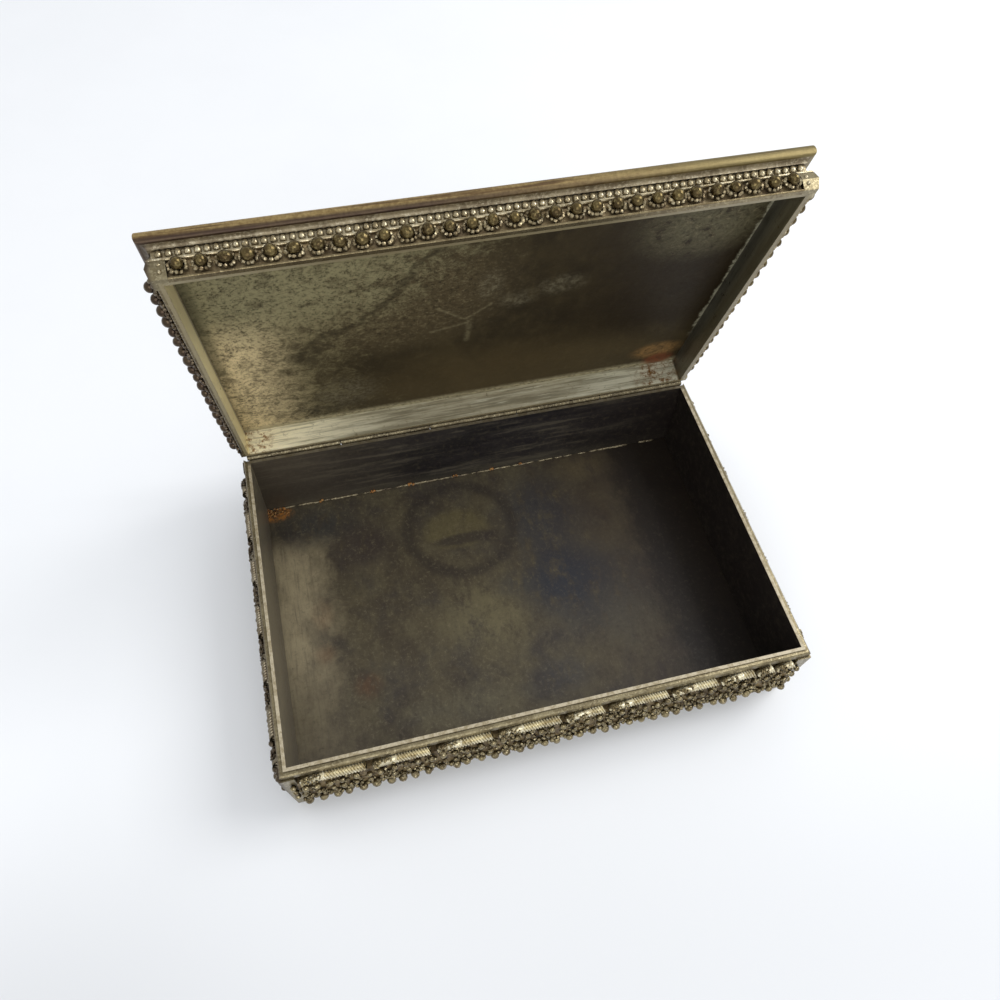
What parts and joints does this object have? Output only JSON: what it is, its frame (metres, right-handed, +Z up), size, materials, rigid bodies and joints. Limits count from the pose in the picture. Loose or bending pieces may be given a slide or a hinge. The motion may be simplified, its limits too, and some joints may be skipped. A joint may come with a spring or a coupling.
{
  "type": "trinket box",
  "caption": "Rectangular sheet-metal trinket box with a hinged lid standing open, grain and scroll borders round base and lid, and tube-knuckle hinge.",
  "frame": {"origin": "centre of the flat underside of the base", "axes": "+X along the long front side to the right as one faces the front, +Y from the front to the hinged back, +Z up; lid at rest stands open 75 degrees"},
  "size_m": [0.1392, 0.1034, 0.1171],
  "materials": {
    "base_sheet": "dark mottled tarnish on plated brass",
    "lid_sheet": "olive-grey tarnish, worn bright at the edges",
    "mouldings": "dull silver-grey plate",
    "grain_work": "olive-brown tarnish with bright high points",
    "lip": "gold-brown tarnish",
    "hinge": "dull plate, rubbed where it turns"
  },
  "bodies": {
    "base": {"base_back_grain_band": "grain_work", "base_back_left_corner_plate": "mouldings", "base_back_right_corner_plate": "mouldings", "base_back_rim_strip": "mouldings", "base_back_scroll_wires": "grain_work", "base_back_wall": "base_sheet", "base_floor": "base_sheet", "base_front_grain_band": "grain_work", "base_front_left_corner_plate": "mouldings", "base_front_right_corner_plate": "mouldings", "base_front_rim_strip": "mouldings", "base_front_scroll_wires": "grain_work", "base_front_wall": "base_sheet", "base_left_grain_band": "grain_work", "base_left_rim_strip": "mouldings", "base_left_scroll_wires": "grain_work", "base_left_wall": "base_sheet", "base_right_grain_band": "grain_work", "base_right_rim_strip": "mouldings", "base_right_scroll_wires": "grain_work", "base_right_wall": "base_sheet", "hinge_base_knuckles": "hinge", "hinge_pin": "hinge"},
    "lid": {"hinge_lid_knuckles": "hinge", "lid_back_bead_wire": "grain_work", "lid_back_cornice": "lip", "lid_back_granule_strip": "grain_work", "lid_back_left_corner_plate": "mouldings", "lid_back_right_corner_plate": "mouldings", "lid_back_wall": "lid_sheet", "lid_front_bead_wire": "grain_work", "lid_front_cornice": "lip", "lid_front_granule_strip": "grain_work", "lid_front_left_corner_plate": "mouldings", "lid_front_right_corner_plate": "mouldings", "lid_front_wall": "lid_sheet", "lid_left_bead_wire": "grain_work", "lid_left_cornice": "lip", "lid_left_granule_strip": "grain_work", "lid_left_wall": "lid_sheet", "lid_lining": "lid_sheet", "lid_panel": "lid_sheet", "lid_right_bead_wire": "grain_work", "lid_right_cornice": "lip", "lid_right_granule_strip": "grain_work", "lid_right_wall": "lid_sheet"}
  },
  "joints": [
    {"name": "lid_hinge", "type": "hinge", "parent": "base", "child": "lid", "pos_m": [0, 0.0451, 0.026], "axis": [-1, 0, 0], "range_deg": [-75, 20]}
  ]
}
